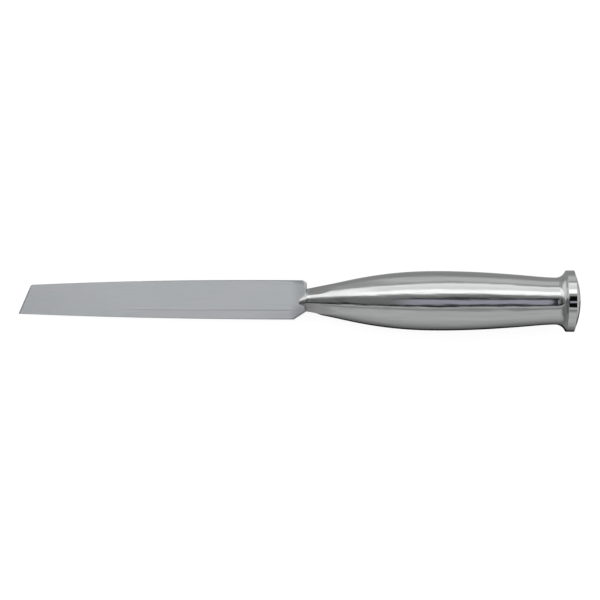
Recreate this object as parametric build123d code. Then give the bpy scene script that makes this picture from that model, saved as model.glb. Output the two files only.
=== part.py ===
from build123d import *
import math
import os

# Osteotome: one forged and ground piece of stainless steel.  Millimetres.
# It is drawn along X, from the far corner of the skew cutting edge (X = 0)
# to the crown of the striking head (X = LENGTH), with Y across the blade and
# Z through its thickness, and is then laid down in its resting attitude.

# ---------------------------------------------------------------- dimensions
LENGTH = 205.0            # far corner of the edge to crown of the head

# blade, plan form (half widths from the axis)
EDGE_SKEW_X = 4.56        # how far the near corner stands back from the far one
TIP_HALF_LOW = 5.15       # far (acute) corner below the axis
TIP_HALF_TOP = 5.56       # near corner above the axis
TIP_CORNER_R = 0.9        # the near corner is rounded
MID_X = 52.4              # middle station of both long sides
MID_HALF_LOW = 6.52
MID_HALF_TOP = 7.02
SHOULDER_X = 106.5        # square end of the blade
TOP_END_HALF = 7.24       # upper side at the shoulder
SHOULDER_R = 1.35         # rounded upper corner of the shoulder
LOW_END_X = 101.8         # the lower side ends here in a sloping chamfer
LOW_END_HALF = 6.90
LOW_STEP_HALF = 3.82      # the chamfer reaches the square end here

# blade, thickness (half values)
SHOULDER_H = 2.85         # half thickness at the shoulder
WEDGE_H = 2.60            # half thickness where the wedge starts
WEDGE_Q = 37.0            # length of the wedge, square to the edge
WEDGE_BLEND = 9.0         # length over which the flat eases into the wedge
EDGE_LAND_H = 0.05        # half thickness of the cutting edge itself
HONE_Q = 0.55             # width of the honed bevel
HONE_H = 0.27             # half thickness behind the honed bevel
BROKEN_EDGE = 0.50        # chamfer along the long arrises
FACET_Y = -3.65           # arris of the long shallow side facet
FACET_DEG = 4.0           # its fall towards the lower side

# nose: oblique cone that runs from the neck out onto the blade faces
NECK_X = 107.0
NECK_R = 4.40
NOSE_APEX_X = 98.5
NOSE_APEX_Y = -2.1

# handle, radii at stations along the axis
HANDLE = [
    (108.7, 4.68), (115.0, 5.95), (123.0, 7.66), (131.0, 9.10),
    (139.0, 10.10), (147.0, 10.63), (155.0, 10.76), (163.0, 10.62),
    (171.2, 10.26), (179.2, 9.72), (187.3, 9.06),
]
WAIST_R = 8.47            # narrowest place, just in front of the head
FLARE_FILLET = 3.6        # hollow of the flare
FLARE_DEG = 58.0          # slope of the flare where it meets the rim
RIM_X = 199.85            # front edge of the rim
RIM_R = 11.05
RIM_END_X = 202.80        # back edge of the rim's cylinder
RIM_ROUND = 0.35          # rounding between rim and strike face
DOME_R = 26.5             # strike face

# resting attitude: on the belly of the handle and both corners of the edge
REST_PITCH = 4.14         # edge down
REST_ROLL = 1.77          # upper (+Y) side down


# ------------------------------------------------------------------- handle
def handle():
    crown = LENGTH
    # strike face: sphere through the crown; radius where it meets the rim
    cx = crown - DOME_R
    dome_edge_r = RIM_R - RIM_ROUND
    dome_edge_x = cx + math.sqrt(DOME_R ** 2 - dome_edge_r ** 2)
    # flare: hollow arc tangent to the waist, then a short straight cone
    a = math.radians(FLARE_DEG)
    arc_c = (RIM_X, WAIST_R + FLARE_FILLET)
    rise = RIM_R - WAIST_R - FLARE_FILLET * (1 - math.cos(a))
    run = rise / math.tan(a)
    arc_cx = RIM_X - run - FLARE_FILLET * math.sin(a)
    arc_mid = (arc_cx + FLARE_FILLET * math.sin(a / 2),
               WAIST_R + FLARE_FILLET * (1 - math.cos(a / 2)))
    arc_end = (arc_cx + FLARE_FILLET * math.sin(a),
               WAIST_R + FLARE_FILLET * (1 - math.cos(a)))
    pts = [(NECK_X, NECK_R)] + HANDLE + [(arc_cx, WAIST_R)]
    rim_end = (RIM_END_X, RIM_R)
    round_end = (dome_edge_x, dome_edge_r)
    dome_mid_a = 0.5 * math.asin(dome_edge_r / DOME_R)
    dome_mid = (cx + DOME_R * math.cos(dome_mid_a),
                DOME_R * math.sin(dome_mid_a))
    with BuildPart() as p:
        with BuildSketch(Plane.XY):
            with BuildLine():
                Line((NECK_X, 0), (NECK_X, NECK_R))
                Spline(*pts, tangents=[(1, 0.03), (1, 0)])
                ThreePointArc((arc_cx, WAIST_R), arc_mid, arc_end)
                Line(arc_end, (RIM_X, RIM_R))
                Line((RIM_X, RIM_R), rim_end)
                Line(rim_end, round_end)
                ThreePointArc(round_end, dome_mid, (crown, 0))
                Line((crown, 0), (NECK_X, 0))
            make_face()
        revolve(axis=Axis.X)
    return p.part


# --------------------------------------------------------------------- nose
def nose():
    # the cone through the neck circle and an apex inside the blade
    base = Plane(origin=(NECK_X, 0, 0), x_dir=(0, 1, 0),
                 z_dir=(-1, 0, 0)) * Circle(NECK_R)
    apex = Vertex(NOSE_APEX_X, NOSE_APEX_Y, 0)
    return loft([base.face(), apex])


# -------------------------------------------------------------------- blade
def outline():
    far = (0.0, -TIP_HALF_LOW)
    near = (EDGE_SKEW_X, TIP_HALF_TOP)
    top_end = (SHOULDER_X, TOP_END_HALF)
    low_end = (LOW_END_X, -LOW_END_HALF)
    with BuildSketch(Plane.XY) as s:
        with BuildLine():
            Line(far, near)
            ThreePointArc(near, (MID_X, MID_HALF_TOP), top_end)
            Line(top_end, (SHOULDER_X, -LOW_STEP_HALF))
            Line((SHOULDER_X, -LOW_STEP_HALF), low_end)
            ThreePointArc(low_end, (MID_X, -MID_HALF_LOW), far)
        make_face()
        fillet(s.vertices().group_by(Axis.Y)[-1].sort_by(Axis.X)[-1:],
               SHOULDER_R)
        near_v = [v for v in s.vertices()
                  if abs(v.X - near[0]) < 0.01 and abs(v.Y - near[1]) < 0.01]
        fillet(near_v, TIP_CORNER_R)
    return s.sketch


def blade():
    bar = extrude(outline(), amount=SHOULDER_H, both=True)
    # both faces have a broken edge all round, save at the cutting edge
    rims = [e for e in bar.edges()
            if abs(abs(e.center().Z) - SHOULDER_H) < 1e-6
            and e.bounding_box().max.X > EDGE_SKEW_X + 0.6]
    bar = chamfer(rims, BROKEN_EDGE)

    # thickness, drawn square to the cutting edge
    ex, ey = EDGE_SKEW_X, TIP_HALF_TOP + TIP_HALF_LOW
    n = math.hypot(ex, ey)
    along = Vector(ex / n, ey / n, 0)
    across = Vector(ey / n, -ex / n, 0)
    q_end = 112.0
    slow = (SHOULDER_H - WEDGE_H) / (98.0 - WEDGE_Q)
    h_end = WEDGE_H + slow * (q_end - WEDGE_Q)
    b = WEDGE_BLEND
    wedge = (WEDGE_H - HONE_H) / (WEDGE_Q - HONE_Q)
    p0 = (WEDGE_Q - b, WEDGE_H - wedge * b)
    p1 = (WEDGE_Q + b, WEDGE_H + slow * b)
    profile_plane = Plane(origin=(0, -TIP_HALF_LOW, 0), x_dir=across,
                          z_dir=along * -1)
    sgn = 1 if profile_plane.y_dir.Z > 0 else -1
    up = [(0, EDGE_LAND_H), (HONE_Q, HONE_H), p0, p1, (q_end, h_end)]
    with BuildSketch(profile_plane) as s:
        with BuildLine():
            for m in (1, -1):
                f = [(x, m * y) for x, y in up]
                Line(f[0], f[1])
                Line(f[1], f[2])
                Spline(f[2], f[3], tangents=[(1, m * wedge), (1, m * slow)])
                Line(f[3], f[4])
            Line((0, EDGE_LAND_H), (0, -EDGE_LAND_H))
            Line((q_end, h_end), (q_end, -h_end))
        make_face()
    slab = extrude(s.sketch, amount=60, both=True)
    body = bar & slab

    # the long shallow facet on both faces
    x1, x2 = 36.0, 120.0
    cq = across.X
    sq = across.Y * (FACET_Y + TIP_HALF_LOW)
    def half(x):
        return WEDGE_H + slow * (cq * x + sq - WEDGE_Q)
    fall = math.tan(math.radians(FACET_DEG))
    w = 8.0
    for m in (1, -1):
        sections = []
        for x in (x1 - 20, x2):
            z = half(x)
            pts = [(x, FACET_Y, m * z), (x, FACET_Y - w, m * (z - w * fall)),
                   (x, FACET_Y - w, m * (z + 3)), (x, FACET_Y, m * (z + 3))]
            sections.append(Face(Wire.make_polygon(
                [Vector(*q) for q in pts], close=True)))
        body -= loft(sections, ruled=True)
    return body


def osteotome():
    tool = blade() + nose() + handle()
    tool = tool.clean()
    tool = Rot(X=-REST_ROLL) * tool
    tool = Rot(Y=-REST_PITCH) * tool
    box = tool.bounding_box()
    tool = Pos(-(box.min.X + box.max.X) / 2, -(box.min.Y + box.max.Y) / 2,
               -box.min.Z) * tool
    return tool


os.makedirs("parts", exist_ok=True)
body = osteotome()
solids = body.solids()
part = solids[0] if len(solids) == 1 else Compound(children=list(solids))
part.label = "osteotome"
export_step(part, "parts/osteotome.step")
print("solids", len(solids), "volume", round(part.volume, 1),
      "valid", part.is_valid)
print("box", part.bounding_box())
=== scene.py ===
import math

import bmesh
import bpy
import numpy as np
from mathutils import Matrix, Vector
from mathutils.geometry import delaunay_2d_cdt
from mathutils.kdtree import KDTree


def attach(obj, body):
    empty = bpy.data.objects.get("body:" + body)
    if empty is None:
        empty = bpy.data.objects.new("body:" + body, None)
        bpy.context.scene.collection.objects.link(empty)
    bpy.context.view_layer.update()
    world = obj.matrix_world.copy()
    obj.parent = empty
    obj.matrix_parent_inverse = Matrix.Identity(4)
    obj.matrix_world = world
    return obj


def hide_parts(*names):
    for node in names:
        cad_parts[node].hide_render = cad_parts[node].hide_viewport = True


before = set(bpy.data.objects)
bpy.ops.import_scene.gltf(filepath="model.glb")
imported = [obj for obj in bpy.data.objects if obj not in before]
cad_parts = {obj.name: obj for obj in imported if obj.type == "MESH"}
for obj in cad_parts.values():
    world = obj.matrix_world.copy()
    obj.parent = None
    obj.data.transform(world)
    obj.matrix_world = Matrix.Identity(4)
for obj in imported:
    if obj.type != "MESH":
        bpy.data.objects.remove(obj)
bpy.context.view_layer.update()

MM = 0.001

# --------------------------------------------------------------------------
# the tool's dimensions in millimetres, along X from the far corner of the
# skew edge, as in the CAD source
LENGTH = 205.0
EDGE_SKEW_X, TIP_HALF_LOW, TIP_HALF_TOP, TIP_CORNER_R = 4.56, 5.15, 5.56, 0.9
MID_X, MID_HALF_LOW, MID_HALF_TOP = 52.4, 6.52, 7.02
SHOULDER_X, TOP_END_HALF, SHOULDER_R = 106.5, 7.24, 1.35
LOW_END_X, LOW_END_HALF, LOW_STEP_HALF = 101.8, 6.90, 3.82
SHOULDER_H, WEDGE_H, WEDGE_Q, WEDGE_BLEND = 2.85, 2.60, 37.0, 9.0
EDGE_LAND_H, HONE_Q, HONE_H = 0.05, 0.55, 0.27
BROKEN_EDGE, FACET_Y, FACET_DEG = 0.50, -3.65, 4.0
NECK_X, NECK_R, NOSE_APEX_X, NOSE_APEX_Y = 107.0, 4.40, 98.5, -2.1
HANDLE = [
    (108.7, 4.68), (115.0, 5.95), (123.0, 7.66), (131.0, 9.10),
    (139.0, 10.10), (147.0, 10.63), (155.0, 10.76), (163.0, 10.62),
    (171.2, 10.26), (179.2, 9.72), (187.3, 9.06),
]
WAIST_R, FLARE_FILLET, FLARE_DEG = 8.47, 3.6, 58.0
RIM_X, RIM_R, RIM_END_X, RIM_ROUND, DOME_R = 199.85, 11.05, 202.80, 0.35, 26.5
REST_PITCH, REST_ROLL = 4.14, 1.77
SHIFT = (-102.259, 0.0, 0.0738)

# the finished skin lies a few thousandths inside the CAD body
INSET = 0.006
LENGTH, RIM_R = LENGTH - 0.002, RIM_R - INSET
HANDLE = [(x, r - INSET) for x, r in HANDLE]

TOOL = (Matrix.Translation(Vector(SHIFT) * MM)
        @ Matrix.Rotation(math.radians(-REST_PITCH), 4, "Y")
        @ Matrix.Rotation(math.radians(-REST_ROLL), 4, "X")
        @ Matrix.Scale(MM, 4))


# ------------------------------------------------------------------ helpers
def clamped_spline(x, y, d0, d1):
    """Second derivatives of the cubic spline with given end slopes."""
    x, y = np.asarray(x, float), np.asarray(y, float)
    n = len(x)
    a, b = np.zeros((n, n)), np.zeros(n)
    h = np.diff(x)
    a[0, 0], a[0, 1] = h[0] / 3, h[0] / 6
    b[0] = (y[1] - y[0]) / h[0] - d0
    a[-1, -1], a[-1, -2] = h[-1] / 3, h[-1] / 6
    b[-1] = d1 - (y[-1] - y[-2]) / h[-1]
    for i in range(1, n - 1):
        a[i, i - 1], a[i, i], a[i, i + 1] = h[i - 1] / 6, (h[i - 1] + h[i]) / 3, h[i] / 6
        b[i] = (y[i + 1] - y[i]) / h[i] - (y[i] - y[i - 1]) / h[i - 1]
    m = np.linalg.solve(a, b)

    def at(t):
        t = np.asarray(t, float)
        i = np.clip(np.searchsorted(x, t) - 1, 0, n - 2)
        u, v = (x[i + 1] - t) / h[i], (t - x[i]) / h[i]
        return (u * y[i] + v * y[i + 1]
                + ((u ** 3 - u) * m[i] + (v ** 3 - v) * m[i + 1]) * h[i] ** 2 / 6)
    return at


def circle_through(p, q, r):
    ax, ay, bx, by, cx, cy = *p, *q, *r
    d = 2 * (ax * (by - cy) + bx * (cy - ay) + cx * (ay - by))
    ux = ((ax * ax + ay * ay) * (by - cy) + (bx * bx + by * by) * (cy - ay)
          + (cx * cx + cy * cy) * (ay - by)) / d
    uy = ((ax * ax + ay * ay) * (cx - bx) + (bx * bx + by * by) * (ax - cx)
          + (cx * cx + cy * cy) * (bx - ax)) / d
    return ux, uy, math.hypot(ax - ux, ay - uy)


# ------------------------------------------------- handle, turned, and nose
def handle_profile():
    a = math.radians(FLARE_DEG)
    rise = RIM_R - WAIST_R - FLARE_FILLET * (1 - math.cos(a))
    arc_cx = RIM_X - rise / math.tan(a) - FLARE_FILLET * math.sin(a)
    pts = [(NECK_X, NECK_R)] + HANDLE + [(arc_cx, WAIST_R)]
    r = clamped_spline([p[0] for p in pts], [p[1] for p in pts], 0.03, 0.0)
    prof = [(float(x), float(r(x))) for x in np.linspace(NECK_X, arc_cx, 190)]
    for t in np.linspace(0, a, 15)[1:]:
        prof.append((arc_cx + FLARE_FILLET * math.sin(t),
                     WAIST_R + FLARE_FILLET * (1 - math.cos(t))))
    # short cone, then a small round over the front edge of the rim
    x0, r0 = prof[-1]
    e = 0.22
    ca, sa = math.cos(a), math.sin(a)
    for k in np.linspace(0, 1, 6)[1:]:
        prof.append((x0 + (RIM_X - e * ca - x0) * k, r0 + (RIM_R - e * sa - r0) * k))
    p0, p2, p1 = prof[-1], (RIM_X + e, RIM_R), (RIM_X, RIM_R)
    for k in np.linspace(0, 1, 7)[1:]:
        prof.append(tuple((1 - k) ** 2 * p0[i] + 2 * k * (1 - k) * p1[i] + k * k * p2[i]
                          for i in (0, 1)))
    for x in np.linspace(RIM_X + e, RIM_END_X - 0.08, 7)[1:]:
        prof.append((float(x), RIM_R))
    cx = LENGTH - DOME_R
    edge_r = RIM_R - RIM_ROUND
    edge_x = cx + math.sqrt(DOME_R ** 2 - edge_r ** 2)
    p0, p1 = (RIM_END_X - 0.08, RIM_R), (edge_x - 0.06, RIM_R)
    in_r = edge_r - 0.12
    p2 = (cx + math.sqrt(DOME_R ** 2 - in_r ** 2), in_r)
    for k in np.linspace(0, 1, 9)[1:]:
        prof.append(tuple((1 - k) ** 2 * p0[i] + 2 * k * (1 - k) * p1[i] + k * k * p2[i]
                          for i in (0, 1)))
    t1 = math.asin(in_r / DOME_R)
    for t in np.linspace(t1, 0, 26)[1:-1]:
        prof.append((cx + DOME_R * math.cos(t), DOME_R * math.sin(t)))
    return prof


AROUND = 192
# five hand-ground flats blend the round neck into the blade: the angle of
# each from the top, towards +Y, how far it reaches either side, and the
# stations along X between which it runs out
FLATS = [(50, 26, 110.5, 121.0), (-43, 27, 110.5, 121.0),
         (130, 26, 110.5, 121.0), (-137, 27, 110.5, 121.0),
         (-90, 22, 109.5, 113.5)]


def flattened(x, angle):
    """Share of the full radius left by the flats at this place."""
    share = 1.0
    for centre, half, start, end in FLATS:
        t = min(1.0, max(0.0, (x - start) / (end - start)))
        half *= 1.0 - t * t * (3 - 2 * t)
        d = abs((angle - centre + 180) % 360 - 180)
        if d < half:
            share = min(share, math.cos(math.radians(half)) / math.cos(math.radians(d)))
    return share


def handle_mesh():
    prof = handle_profile()
    rings = []
    # the nose: the same circle drawn down to a point inside the blade
    for k in np.linspace(0.12, 1, 16)[:-1]:
        rings.append((NOSE_APEX_X + (NECK_X - NOSE_APEX_X) * k,
                      NOSE_APEX_Y * (1 - k), NECK_R * k))
    rings += [(x, 0.0, r) for x, r in prof]
    verts, faces = [], []
    for x, yc, r in rings:
        for i in range(AROUND):
            t = 2 * math.pi * i / AROUND
            k = r * flattened(x, 90 - math.degrees(t)) if x < 121 else r
            verts.append((x, yc + k * math.cos(t), k * math.sin(t)))
    a0 = len(verts)
    verts.append((NOSE_APEX_X, NOSE_APEX_Y, 0.0))
    verts.append((LENGTH, 0.0, 0.0))
    for j in range(len(rings) - 1):
        for i in range(AROUND):
            k = (i + 1) % AROUND
            b = j * AROUND
            faces.append((b + i, b + AROUND + i, b + AROUND + k, b + k))
    last = (len(rings) - 1) * AROUND
    for i in range(AROUND):
        k = (i + 1) % AROUND
        faces.append((a0, i, k))
        faces.append((a0 + 1, last + k, last + i))
    return verts, faces


# -------------------------------------------------------------------- blade
NORM = math.hypot(EDGE_SKEW_X, TIP_HALF_TOP + TIP_HALF_LOW)
QX, QY = (TIP_HALF_TOP + TIP_HALF_LOW) / NORM, -EDGE_SKEW_X / NORM
SLOW = (SHOULDER_H - WEDGE_H) / (98.0 - WEDGE_Q)
WEDGE = (WEDGE_H - HONE_H) / (WEDGE_Q - HONE_Q)


def half_thickness(x, y):
    q = QX * x + QY * (y + TIP_HALF_LOW)
    b = WEDGE_BLEND
    if q < HONE_Q:
        h = EDGE_LAND_H + (HONE_H - EDGE_LAND_H) * max(q, 0) / HONE_Q
    elif q < WEDGE_Q - b:
        h = HONE_H + WEDGE * (q - HONE_Q)
    elif q < WEDGE_Q + b:
        t = (q - WEDGE_Q + b) / (2 * b)
        y0, y1 = WEDGE_H - WEDGE * b, WEDGE_H + SLOW * b
        h = ((2 * t ** 3 - 3 * t * t + 1) * y0 + (t ** 3 - 2 * t * t + t) * 2 * b * WEDGE
             + (-2 * t ** 3 + 3 * t * t) * y1 + (t ** 3 - t * t) * 2 * b * SLOW)
    else:
        h = WEDGE_H + SLOW * (q - WEDGE_Q)
    return h


def facet_height(x, y):
    q = QX * x + QY * (FACET_Y + TIP_HALF_LOW)
    return WEDGE_H + SLOW * (q - WEDGE_Q) + (y - FACET_Y) * math.tan(math.radians(FACET_DEG))


def edge_x(y):
    return EDGE_SKEW_X * (y + TIP_HALF_LOW) / (TIP_HALF_TOP + TIP_HALF_LOW)


def rounded(p, c, q, r, n):
    """Points of a fillet of radius r at corner c, between directions to p and q."""
    p, c, q = (np.array(v, float) for v in (p, c, q))
    u, v = (p - c) / np.linalg.norm(p - c), (q - c) / np.linalg.norm(q - c)
    half = math.acos(float(np.clip(u @ v, -1, 1))) / 2
    d = r / math.tan(half)
    w = (u + v) / np.linalg.norm(u + v)
    o = c + w * r / math.sin(half)
    a, b = c + u * d - o, c + v * d - o
    t0, t1 = math.atan2(a[1], a[0]), math.atan2(b[1], b[0])
    while t1 - t0 > math.pi:
        t1 -= 2 * math.pi
    while t1 - t0 < -math.pi:
        t1 += 2 * math.pi
    return [(o[0] + r * math.cos(t), o[1] + r * math.sin(t)) for t in np.linspace(t0, t1, n)]


def outline_top():
    near, end = (EDGE_SKEW_X, TIP_HALF_TOP), (SHOULDER_X, TOP_END_HALF)
    cx, cy, cr = circle_through(near, (MID_X, MID_HALF_TOP), end)
    arc = lambda x: cy + math.sqrt(cr * cr - (x - cx) ** 2)
    pts = rounded((0, -TIP_HALF_LOW), near, (near[0] + 3, arc(near[0] + 3)), TIP_CORNER_R, 9)
    tail = rounded((end[0] - 4, arc(end[0] - 4)), end, (end[0], 0), SHOULDER_R, 13)
    xs = np.linspace(pts[-1][0] + 0.5, tail[0][0] - 0.5, 120)
    return pts + [(float(x), arc(float(x))) for x in xs] + tail


def outline_low():
    far, end = (0.0, -TIP_HALF_LOW), (LOW_END_X, -LOW_END_HALF)
    cx, cy, cr = circle_through(far, (MID_X, -MID_HALF_LOW), end)
    arc = lambda x: cy - math.sqrt(cr * cr - (x - cx) ** 2)
    xs = np.linspace(0, LOW_END_X, 140)
    pts = [(float(x), arc(float(x))) for x in xs]
    k = np.linspace(0, 1, 9)[1:]
    return pts + [(LOW_END_X + (SHOULDER_X - LOW_END_X) * t,
                   -LOW_END_HALF + (LOW_END_HALF - LOW_STEP_HALF) * t) for t in k]


def face_height(x, y):
    h = half_thickness(x, y)
    return min(h, facet_height(x, y)) if y < FACET_Y else h


CHAMFER_TOP = SHOULDER_H - BROKEN_EDGE   # half height of the square sides


def blade_mesh():
    """Outer outline, the broken edge inside it, then the face filled in."""
    top, low = outline_top(), outline_low()
    end = [(SHOULDER_X, float(y)) for y in np.linspace(-LOW_STEP_HALF, top[-1][1], 12)[1:-1]]
    side = low + end + top[::-1]          # far corner round to the near corner
    skew_n = 16
    p0, p1 = np.array(side[-1]), np.array(side[0])
    skew = [tuple(p0 + (p1 - p0) * t) for t in np.linspace(0, 1, skew_n + 1)[1:-1]]
    loop = side + skew
    n, ns = len(loop), len(side)
    pts = np.array(loop)
    inner, zp, zq = [], [], []
    for i in range(n):
        before, here, after = pts[i - 1], pts[i], pts[(i + 1) % n]
        u, v = here - before, after - here
        u, v = u / np.linalg.norm(u), v / np.linalg.norm(v)
        nu, nv = np.array((-u[1], u[0])), np.array((-v[1], v[0]))
        m = nu + nv
        m /= m @ nu
        h = face_height(*here)
        if 0 < i < ns:
            # round the near corner the broken edge widens into the hone
            t = max(0.0, (i - (ns - 9)) / 8)
            d = min(BROKEN_EDGE, max(0.09 + (HONE_Q - 0.09) * t, h - CHAMFER_TOP))
            q = here + m * d
        elif i >= ns:
            q = here + nv * HONE_Q
        else:
            # far corner: square to the hone line and a broken edge off the side
            along = (pts[-1] - here) / np.linalg.norm(pts[-1] - here)
            base = here + nu * HONE_Q
            k = (nv @ (base - here) - 0.09) / -(nv @ along)
            q = base + along * k
        inner.append(q)
        zq.append(face_height(*q))
        zp.append(min(CHAMFER_TOP, max(EDGE_LAND_H, h - 0.07)))
    inner = np.array(inner)
    # points of the face: the inner loop, the arris and a fine grid
    cdt = [Vector(tuple(q)) for q in inner]
    edges = [(i, (i + 1) % n) for i in range(n)]
    arris_x = np.linspace(28.0, 103.2, 100)
    k0 = len(cdt)
    cdt += [Vector((float(x), FACET_Y)) for x in arris_x]
    edges += [(k0 + i, k0 + i + 1) for i in range(len(arris_x) - 1)]
    path = inner
    xs = np.concatenate([np.arange(1.0, 46.0, 0.55), np.arange(46.0, 106.2, 0.9)])
    for x in xs:
        for y in np.arange(-6.6, 7.0, 0.62):
            p = np.array((x, y))
            if abs(y - FACET_Y) < 0.2:
                continue
            a, b = path, np.roll(path, -1, axis=0)
            ab, ap = b - a, p - a
            t = np.clip((ab * ap).sum(1) / (ab * ab).sum(1), 0, 1)
            dist = np.sqrt(((ap - ab * t[:, None]) ** 2).sum(1))
            cross = ab[:, 0] * ap[:, 1] - ab[:, 1] * ap[:, 0]
            k = int(dist.argmin())
            if dist[k] > 0.22 and cross[k] > 0:
                cdt.append(Vector((float(x), float(y))))
    cv, _, cf, *_ = delaunay_2d_cdt(cdt, edges, [], 1, 1e-6)
    verts, faces = [], []
    for m in (1, -1):
        verts += [(v.x, v.y, m * face_height(v.x, v.y)) for v in cv]
    nf = len(cv)
    for f in cf:
        f = list(f)
        faces.append(f)
        faces.append([k + nf for k in f][::-1])
    face_count = len(faces)
    # which output vertex each inner point became
    tree = KDTree(nf)
    for i, v in enumerate(cv):
        tree.insert((v.x, v.y, 0), i)
    tree.balance()
    at = [tree.find((q[0], q[1], 0))[1] for q in inner]
    o = len(verts)
    for m in (1, -1):
        verts += [(pts[i][0], pts[i][1], m * zp[i]) for i in range(n)]
    creases = []
    for i in range(n):
        k = (i + 1) % n
        faces.append([o + i, o + k, at[k], at[i]])
        faces.append([o + n + i, at[i] + nf, at[k] + nf, o + n + k])
        faces.append([o + i, o + n + i, o + n + k, o + k])
        creases += [(o + i, o + k), (o + n + i, o + n + k), (at[i], at[k]),
                    (at[i] + nf, at[k] + nf)]
    slots = [0] * face_count + [2, 2, 0] * n
    return verts, faces, creases, slots


def to_object(name, verts, faces, slots, creases=()):
    me = bpy.data.meshes.new(name)
    me.from_pydata([TOOL @ Vector(v) for v in verts], [], faces)
    me.update()
    for f in me.polygons:
        f.use_smooth = True
        f.material_index = slots[f.index]
    bm = bmesh.new()
    bm.from_mesh(me)
    bmesh.ops.recalc_face_normals(bm, faces=bm.faces)
    sharp = set(tuple(sorted(c)) for c in creases)
    bm.verts.index_update()
    for e in bm.edges:
        if tuple(sorted((e.verts[0].index, e.verts[1].index))) in sharp:
            e.smooth = False
    bm.to_mesh(me)
    bm.free()
    ob = bpy.data.objects.new(name, me)
    bpy.context.scene.collection.objects.link(ob)
    return ob


# ---------------------------------------------------------------- materials
class Graph:
    """Short-hand for building node trees."""

    def __init__(self, tree):
        self.tree = tree
        tree.nodes.clear()

    def node(self, kind, **kw):
        n = self.tree.nodes.new(kind)
        for k, v in kw.items():
            setattr(n, k, v)
        return n

    def put(self, socket, value):
        if isinstance(value, (int, float)):
            socket.default_value = value
        elif isinstance(value, (tuple, list)):
            socket.default_value = value
        else:
            self.tree.links.new(value, socket)

    def math(self, op, a, b=None, c=None, clamp=False):
        n = self.node("ShaderNodeMath", operation=op, use_clamp=clamp)
        for i, v in enumerate((a, b, c)):
            if v is not None:
                self.put(n.inputs[i], v)
        return n.outputs[0]

    def step(self, value, x0, x1, y0=0.0, y1=1.0, kind="SMOOTHSTEP"):
        n = self.node("ShaderNodeMapRange", interpolation_type=kind)
        self.put(n.inputs[0], value)
        for i, v in enumerate((x0, x1, y0, y1)):
            self.put(n.inputs[i + 1], v)
        return n.outputs[0]

    def colour_mix(self, fac, a, b, mode="MIX"):
        n = self.node("ShaderNodeMix", data_type="RGBA", blend_type=mode)
        self.put(n.inputs[0], fac)
        self.put(n.inputs[6], a)
        self.put(n.inputs[7], b)
        return n.outputs[2]

    def noise(self, vector, scale, detail=4.0, rough=0.55, distort=0.0):
        n = self.node("ShaderNodeTexNoise", noise_dimensions="3D")
        self.put(n.inputs["Vector"], vector)
        self.put(n.inputs["Scale"], scale)
        self.put(n.inputs["Detail"], detail)
        self.put(n.inputs["Roughness"], rough)
        self.put(n.inputs["Distortion"], distort)
        return n.outputs[0]

    def stretch(self, vector, factors, offset=(0, 0, 0)):
        n = self.node("ShaderNodeMapping", vector_type="POINT")
        self.put(n.inputs[0], vector)
        n.inputs["Location"].default_value = offset
        n.inputs["Scale"].default_value = factors
        return n.outputs[0]

    def line(self, value, centre, half):
        """1 on a fine line at the given place, fading over its half width."""
        d = self.math("ABSOLUTE", self.math("SUBTRACT", value, centre))
        return self.step(d, 0.0, half, 1.0, 0.0)


INVERSE = TOOL.inverted()


def tool_coordinates(g):
    """Millimetres in the tool's own axes: along, across, through."""
    tc = g.node("ShaderNodeTexCoord")
    mp = g.node("ShaderNodeMapping", vector_type="POINT")
    g.tree.links.new(tc.outputs["Object"], mp.inputs[0])
    mp.inputs["Location"].default_value = INVERSE.translation
    mp.inputs["Rotation"].default_value = INVERSE.to_3x3().normalized().to_euler("XYZ")
    mp.inputs["Scale"].default_value = (1000, 1000, 1000)
    sep = g.node("ShaderNodeSeparateXYZ")
    g.tree.links.new(mp.outputs[0], sep.inputs[0])
    return mp.outputs[0], sep.outputs[0], sep.outputs[1], sep.outputs[2]


def new_steel(name):
    mat = bpy.data.materials.new(name)
    mat.use_nodes = True
    g = Graph(mat.node_tree)
    out = g.node("ShaderNodeOutputMaterial")
    bsdf = g.node("ShaderNodeBsdfPrincipled")
    g.tree.links.new(bsdf.outputs[0], out.inputs[0])
    bsdf.inputs["Metallic"].default_value = 1.0
    return mat, g, bsdf


def bump(g, bsdf, height, distance, strength=1.0, under=None):
    n = g.node("ShaderNodeBump")
    g.put(n.inputs["Strength"], strength)
    g.put(n.inputs["Distance"], distance)
    g.put(n.inputs["Height"], height)
    if under is not None:
        g.put(n.inputs["Normal"], under)
    g.tree.links.new(n.outputs[0], bsdf.inputs["Normal"])
    return n.outputs[0]


SATIN = (0.795, 0.828, 0.848, 1)


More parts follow.
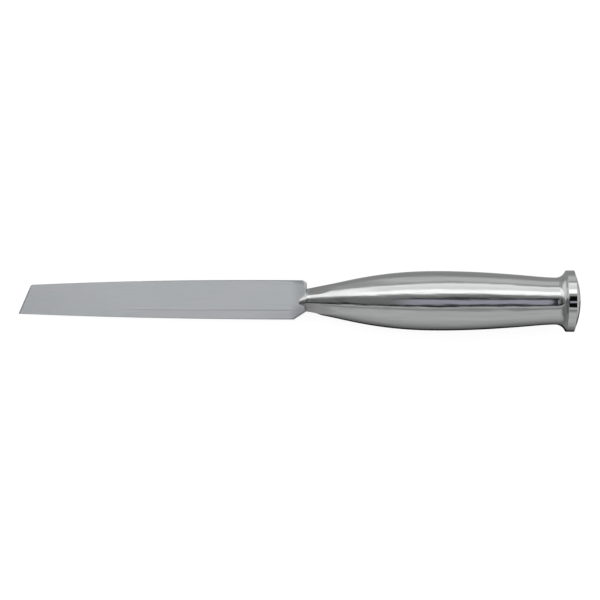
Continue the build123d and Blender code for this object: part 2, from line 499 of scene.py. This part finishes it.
def satin_steel():
    """Fine lengthwise satin grind of the blade, with painted light and shade on it: a lighter facet, darker
    ends, and a painted shade line with painted highlights along the facet's arris.
    """
    mat, g, bsdf = new_steel("steel_satin")
    p, x, y, z = tool_coordinates(g)
    grain = g.noise(g.stretch(p, (0.035, 2.6, 2.6)), 1.0, 7.0, 0.62)
    fine = g.noise(g.stretch(p, (0.11, 9.0, 9.0), (7, 3, 0)), 1.0, 5.0, 0.7)
    cloud = g.noise(g.stretch(p, (0.045, 0.11, 0.11), (0, 21, 0)), 1.0, 3.0, 0.5)
    lines = g.math("ADD", g.math("MULTIPLY", grain, 0.6), g.math("MULTIPLY", fine, 0.4))
    hue = g.colour_mix(g.step(cloud, 0.35, 0.65), (0.858, 0.905, 0.914, 1),
                       (0.888, 0.904, 0.936, 1))
    shade = g.step(lines, 0.30, 0.70, 0.955, 1.03, "LINEAR")
    colour = g.colour_mix(1.0, hue, shade, "MULTIPLY")
    # painted light and shade: the facet is painted lighter, and the face is painted darker towards both
    # ends, at the shoulder's low corner and near its top corner
    painted_facet_light = g.math("MULTIPLY", g.step(y, FACET_Y + 0.1, FACET_Y - 0.1),
                   g.math("MULTIPLY", g.step(x, 38.0, 50.0), g.step(x, 88.0, 101.0, 1.0, 0.0)))
    colour = g.colour_mix(g.math("MULTIPLY", painted_facet_light, 0.80), colour, (0.975, 0.99, 1.0, 1))
    painted_end_shade = g.math("MULTIPLY", g.step(x, 2.0, 45.0, 0.91, 1.0, "LINEAR"),
                  g.step(x, 100.5, 105.5, 1.0, 0.83))
    # painted shade at the shoulder's low corner
    low_end_shade = g.math("MULTIPLY", g.step(x, 99.5, 103.5), g.step(y, -1.4, -3.2))
    painted_end_shade = g.math("MULTIPLY", painted_end_shade, g.math("SUBTRACT", 1.0, g.math("MULTIPLY", low_end_shade, 0.15)))
    # painted shade near the shoulder's top corner
    shoulder_corner_shade = g.math("MULTIPLY", g.step(x, 101.2, 103.4), g.step(y, 5.5, 6.6))
    painted_end_shade = g.math("MULTIPLY", painted_end_shade, g.math("SUBTRACT", 1.0, g.math("MULTIPLY", shoulder_corner_shade, 0.22)))
    colour = g.colour_mix(1.0, colour, painted_end_shade, "MULTIPLY")
    # arris of the long facet: a painted shade line, with a painted highlight on both sides
    along = g.math("MULTIPLY", g.step(x, 36.0, 47.0), g.step(x, 99.0, 103.4, 1.0, 0.0))
    wander = g.math("MULTIPLY", g.math("SUBTRACT", g.noise(g.stretch(p, (0.09, 0, 0)), 1.0, 2.0), 0.5), 0.45)
    yy = g.math("ADD", y, wander)
    arris_painted_shade = g.math("MULTIPLY", g.line(yy, FACET_Y + 0.02, 0.42), along)
    arris_painted_highlight = g.math("MULTIPLY", g.math("ADD", g.line(yy, FACET_Y + 0.52, 0.36),
                                      g.line(yy, FACET_Y - 0.50, 0.36)), along)
    arris_shade_strength = g.step(x, 60.0, 101.0, 0.26, 0.44)
    colour = g.colour_mix(g.math("MULTIPLY", arris_painted_shade, arris_shade_strength), colour, (0.30, 0.31, 0.33, 1))
    colour = g.colour_mix(g.math("MULTIPLY", arris_painted_highlight, 0.75), colour, (0.98, 0.99, 1.0, 1))
    g.put(bsdf.inputs["Base Color"], colour)
    g.put(bsdf.inputs["Roughness"], g.step(lines, 0.3, 0.7, 0.47, 0.57, "LINEAR"))
    bump(g, bsdf, lines, 0.000012, 0.6)
    return mat


def ground_edge():
    """Broken edges and the honed bevel: ground across, a little darker."""
    mat, g, bsdf = new_steel("steel_edge")
    p, x, y, z = tool_coordinates(g)
    ticks = g.noise(g.stretch(p, (2.2, 0.5, 0.5)), 1.0, 5.0, 0.6)
    near_shoulder = g.step(x, 84.0, 104.0)
    colour = g.colour_mix(near_shoulder, (0.50, 0.515, 0.53, 1), (0.36, 0.37, 0.385, 1))
    colour = g.colour_mix(g.step(x, 9.0, 2.0), colour, (0.30, 0.31, 0.325, 1))
    square_end = g.math("MULTIPLY", g.step(x, 105.2, 105.8), g.step(y, 0.5, 2.0))
    colour = g.colour_mix(square_end, colour, (0.80, 0.82, 0.83, 1))
    colour = g.colour_mix(1.0, colour, g.step(ticks, 0.3, 0.7, 0.90, 1.08, "LINEAR"), "MULTIPLY")
    g.put(bsdf.inputs["Base Color"], colour)
    g.put(bsdf.inputs["Roughness"], g.step(ticks, 0.3, 0.7, 0.26, 0.38, "LINEAR"))
    bump(g, bsdf, ticks, 0.000008, 0.5)
    return mat


def polished_steel():
    """Turned and hand-polished handle and head, with long faint streaks."""
    mat, g, bsdf = new_steel("steel_polished")
    p, x, y, z = tool_coordinates(g)
    streak = g.noise(g.stretch(p, (0.02, 0.9, 0.9)), 1.0, 6.0, 0.6)
    hair = g.noise(g.stretch(p, (0.05, 6.5, 6.5), (3, 5, 0)), 1.0, 5.0, 0.7)
    swell = g.noise(g.stretch(p, (0.030, 0.17, 0.17), (0, 0, 9)), 1.0, 3.0, 0.5)
    head = g.step(x, 195.5, 199.6)
    tone = g.step(streak, 0.30, 0.70, 0.93, 1.04, "LINEAR")
    colour = g.colour_mix(1.0, (0.630, 0.636, 0.638, 1), tone, "MULTIPLY")
    mixed = g.math("ADD", g.math("MULTIPLY", streak, 0.6), g.math("MULTIPLY", hair, 0.4))
    rough = g.step(mixed, 0.35, 0.65, BARREL_ROUGH - 0.03, BARREL_ROUGH + 0.035, "LINEAR")
    rough = g.math("ADD", g.math("MULTIPLY", rough, g.math("SUBTRACT", 1.0, head)),
                   g.math("MULTIPLY", head, HEAD_ROUGH))
    # the blade's satin runs a little way onto the far flank of the neck
    bound = g.math("ADD", g.math("MULTIPLY", g.math("SUBTRACT", x, 104.0), 0.16), 1.1)
    flank = g.math("MULTIPLY", g.step(g.math("SUBTRACT", y, bound), -0.15, 0.35),
                   g.step(x, 106.0, 108.6, 1.0, 0.0))
    rough = g.math("ADD", rough, g.math("MULTIPLY", flank, 0.26))
    colour = g.colour_mix(flank, colour, (0.74, 0.77, 0.77, 1))
    # painted shade: the neck's ground flats are darkened in colour, the low side most
    low_flat_painted_shade = g.step(y, -0.45, -1.05)
    high_flat_painted_shade = g.step(y, 1.9, 2.6)
    painted_flat_shade = g.math("MULTIPLY", g.step(x, 106.0, 118.0, 1.0, 0.0, "LINEAR"),
                  g.math("ADD", g.math("MULTIPLY", low_flat_painted_shade, 0.62),
                         g.math("MULTIPLY", high_flat_painted_shade, 0.40)))
    colour = g.colour_mix(painted_flat_shade, colour, (0.150, 0.146, 0.142, 1))
    g.put(bsdf.inputs["Base Color"], colour)
    g.put(bsdf.inputs["Roughness"], rough)
    calm = g.math("SUBTRACT", 1.0, g.math("MULTIPLY", head, 0.85))
    soft = g.node("ShaderNodeBump")
    g.put(soft.inputs["Strength"], g.math("MULTIPLY", calm, 1.0))
    g.put(soft.inputs["Distance"], SWELL)
    g.put(soft.inputs["Height"], swell)
    bump(g, bsdf, mixed, 0.0000030, calm, soft.outputs[0])
    return mat


BARREL_ROUGH, HEAD_ROUGH, SWELL = 0.13, 0.05, 0.00024

mat_blade = satin_steel()
mat_handle = polished_steel()
mat_edge = ground_edge()


# ------------------------------------------------------------- build piece
hv, hf = handle_mesh()
handle = to_object("handle_tmp", hv, hf, [1] * len(hf))
bv, bf, bc, bs = blade_mesh()
tool = to_object("osteotome_steel", bv, bf, bs, bc)
for o in (tool, handle):
    for m in (mat_blade, mat_handle, mat_edge):
        o.data.materials.append(m)
mod = tool.modifiers.new("union", "BOOLEAN")
mod.operation = "UNION"
mod.solver = "EXACT"
mod.object = handle
dg = bpy.context.evaluated_depsgraph_get()
joined = bpy.data.meshes.new_from_object(tool.evaluated_get(dg))
tool.modifiers.clear()
tool.data = joined
bpy.data.objects.remove(handle)

bm = bmesh.new()
bm.from_mesh(tool.data)
bmesh.ops.remove_doubles(bm, verts=bm.verts, dist=2e-7)
for e in bm.edges:
    if len(e.link_faces) == 2 and e.smooth:
        if e.link_faces[0].material_index != e.link_faces[1].material_index:
            e.smooth = e.calc_face_angle(0) < math.radians(6)
        elif e.calc_face_angle(0) > math.radians(24):
            e.smooth = False
open_edges = sum(1 for e in bm.edges if len(e.link_faces) != 2)
print("union: verts", len(bm.verts), "faces", len(bm.faces), "open edges", open_edges,
      "volume mm3", round(bm.calc_volume() * 1e9, 1))
bm.to_mesh(tool.data)
bm.free()

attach(tool, "root")
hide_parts("osteotome")

# ------------------------------------------------------------------- stage
bpy.ops.mesh.primitive_plane_add(size=6.0, location=(0, 0, 0))
floor = bpy.context.object
floor.name = "floor"
fm = bpy.data.materials.new("floor_white")
fm.use_nodes = True
fb = fm.node_tree.nodes["Principled BSDF"]
fb.inputs["Base Color"].default_value = (0.30, 0.30, 0.30, 1)
fb.inputs["Roughness"].default_value = 0.95
fb.inputs["Specular IOR Level"].default_value = 0.05
fb.inputs["Emission Color"].default_value = (1, 1, 1, 1)
fb.inputs["Emission Strength"].default_value = 0.79
floor.data.materials.append(fm)
floor.visible_glossy = False

# ------------------------------------------------------------------- light
world = bpy.data.worlds.new("studio")
bpy.context.scene.world = world
world.use_nodes = True
w = Graph(world.node_tree)
w_out = w.node("ShaderNodeOutputWorld")
bg = w.node("ShaderNodeBackground")
w.tree.links.new(bg.outputs[0], w_out.inputs[0])
tc = w.node("ShaderNodeTexCoord")
sep = w.node("ShaderNodeSeparateXYZ")
w.tree.links.new(tc.outputs["Generated"], sep.inputs[0])
dx = sep.outputs[0]
deg = w.math("MULTIPLY", w.math("ARCTAN2", sep.outputs[1], sep.outputs[2]), 180 / math.pi)

# The studio round the tool, as the polished steel sees it: cards, soft boxes
# and the dark gaps between them, each laid over the ones before it.  Angles
# run from overhead towards +Y in degrees: start, its softness, end, its
# softness, level, tint, and how far towards the cutting edge it reaches.
PLAIN = (1.0, 1.0, 1.0)
COOL = (0.96, 0.965, 1.13)
ALL = -2.0
BOARDS = [
    (-200, 1, 200, 1, 0.24, PLAIN, ALL),        # grey floor towards the edge
    (-200, 1, 200, 1, 0.01, PLAIN, -0.28),      # dark under the handle
    (-142, 12, 200, 1, 0.20, PLAIN, ALL),       # side card, near side
    (-116, 16, 200, 1, 0.43, PLAIN, -0.66),
    (-92, 16, 200, 1, 0.56, PLAIN, -0.46),
    (-41, 4, 200, 1, 0.30, PLAIN, ALL),         # grey edge of that card
    (-31.0, 2, -24.2, 1.5, 0.58, PLAIN, ALL),   # thin bright gap in it
    (-23.6, 1.5, 200, 1, 0.015, PLAIN, ALL),    # dark gap
    (-14, 3.0, 200, 1, 0.20, PLAIN, ALL),       # grey ceiling
    (-13.0, 3.0, 3.4, 1.6, 0.43, COOL, -0.22),  # narrow card overhead
    (3.6, 1.5, 200, 1, 0.030, PLAIN, -0.24),    # dark gap
    (11, 2.0, 200, 1, 0.23, PLAIN, ALL),        # grey card
    (20, 3.0, 200, 1, 0.40, PLAIN, ALL),
    (28.8, 4.0, 200, 1, 1.15, PLAIN, ALL),      # main soft box
    (28.8, 4.0, 200, 1, 1.62, PLAIN, -0.47),
    (44.5, 3.0, 200, 1, 1.38, PLAIN, ALL),
    (44.5, 3.0, 200, 1, 1.02, PLAIN, -0.35),
    (61, 4.0, 70, 3.0, 1.18, PLAIN, ALL),
    (72, 3.0, 200, 1, 0.44, PLAIN, ALL),        # grey gap
    (81, 3.0, 110, 12, 0.66, PLAIN, -0.18),     # side card, far side
    (112, 10, 200, 1, 0.34, PLAIN, ALL),
]
level = (0.01, 0.01, 0.01, 1)
for a0, s0, a1, s1, lv, tint, reach in BOARDS:
    inside = w.step(deg, a0 - s0, a0 + s0)
    if a1 < 180:
        inside = w.math("MULTIPLY", inside, w.step(deg, a1 - s1, a1 + s1, 1.0, 0.0))
    if reach > -1:
        inside = w.math("MULTIPLY", inside, w.step(dx, reach - 0.07, reach + 0.07))
    level = w.colour_mix(inside, level, tuple(lv * t for t in tint) + (1,))

# towards either end of the tool the surround is plain grey
to_edge = w.step(dx, -0.99, -0.84, 1.0, 0.0)
to_head = w.step(dx, 0.40, 0.62)
level = w.colour_mix(w.math("MULTIPLY", to_edge, 0.70), level, (0.24, 0.24, 0.24, 1))
level = w.colour_mix(to_head, level, (0.58, 0.58, 0.58, 1))
# a bright card low on the far side, which only the flare looks at
card = w.math("MULTIPLY", w.step(deg, 68.0, 76.0), w.step(deg, 171.0, 179.0, 1.0, 0.0))
card = w.math("MULTIPLY", card, w.step(dx, -0.70, -0.55, 1.0, 0.0))
white = w.step(deg, 125.0, 158.0, 0.92, 0.41)
level = w.colour_mix(card, level, w.colour_mix(white, (0, 0, 0, 1), (1, 1, 1, 1)))
# and a dark gap overhead, where the waist starts to flare
gap = w.math("MULTIPLY", w.step(deg, -17.0, -11.0), w.step(deg, 8.0, 14.0, 1.0, 0.0))
gap = w.math("MULTIPLY", gap, w.step(dx, -0.83, -0.71))
gap = w.math("MULTIPLY", gap, w.step(dx, -0.60, -0.50, 0.85, 0.0))
level = w.colour_mix(gap, level, (0.02, 0.02, 0.02, 1))

# what isn't mirrored is lit by an even white surround
lp = w.node("ShaderNodeLightPath")
level = w.colour_mix(lp.outputs["Is Glossy Ray"], (0.92, 0.92, 0.92, 1), level)
w.tree.links.new(level, bg.inputs["Color"])
bg.inputs["Strength"].default_value = 1.0

key = bpy.data.lights.new("key", "AREA")
key.shape = "RECTANGLE"
key.size, key.size_y = 0.9, 0.9
key.energy = 2.2
ko = bpy.data.objects.new("key", key)
bpy.context.scene.collection.objects.link(ko)
ko.location = (-0.35, 0.55, 0.95)
ko.rotation_euler = (Vector((0, 0, 0)) - ko.location).to_track_quat("-Z", "Y").to_euler()
ko.visible_glossy = False

# small black flags over the head, seen only as dark reflections
fl = bpy.data.meshes.new("flags")
quads = [(0.0924, 0.0966, -0.0065, 0.0030), (0.0965, 0.1015, 0.0, 0.0051),
         (0.0965, 0.1015, -0.0066, -0.0020)]
fl.from_pydata([(x, y, 0.036) for x0, x1, y0, y1 in quads
                for x, y in ((x0, y0), (x1, y0), (x1, y1), (x0, y1))], [],
               [tuple(range(4 * i, 4 * i + 4)) for i in range(len(quads))])
flags = bpy.data.objects.new("flags", fl)
bpy.context.scene.collection.objects.link(flags)
black = bpy.data.materials.new("flag_black")
black.use_nodes = True
kb = black.node_tree.nodes["Principled BSDF"]
kb.inputs["Base Color"].default_value = (0.004, 0.004, 0.004, 1)
kb.inputs["Specular IOR Level"].default_value = 0.0
kb.inputs["Roughness"].default_value = 1.0
fl.materials.append(black)
flags.visible_camera = False
flags.visible_diffuse = False
flags.visible_shadow = False

# ------------------------------------------------------------------ camera
cam = bpy.data.cameras.new("camera")
cam.sensor_width = 36.0
cam.lens = 36.0 * 520.0 / (600.0 / 2.7465)
cam.clip_start, cam.clip_end = 0.01, 20.0
cam.dof.use_dof = False
co = bpy.data.objects.new("camera", cam)
bpy.context.scene.collection.objects.link(co)
co.location = (0.00165, 0.00018, 0.0076 + 0.520)
co.rotation_euler = (0, 0, 0.0023)
bpy.context.scene.camera = co
bpy.context.scene.view_settings.view_transform = "Standard"
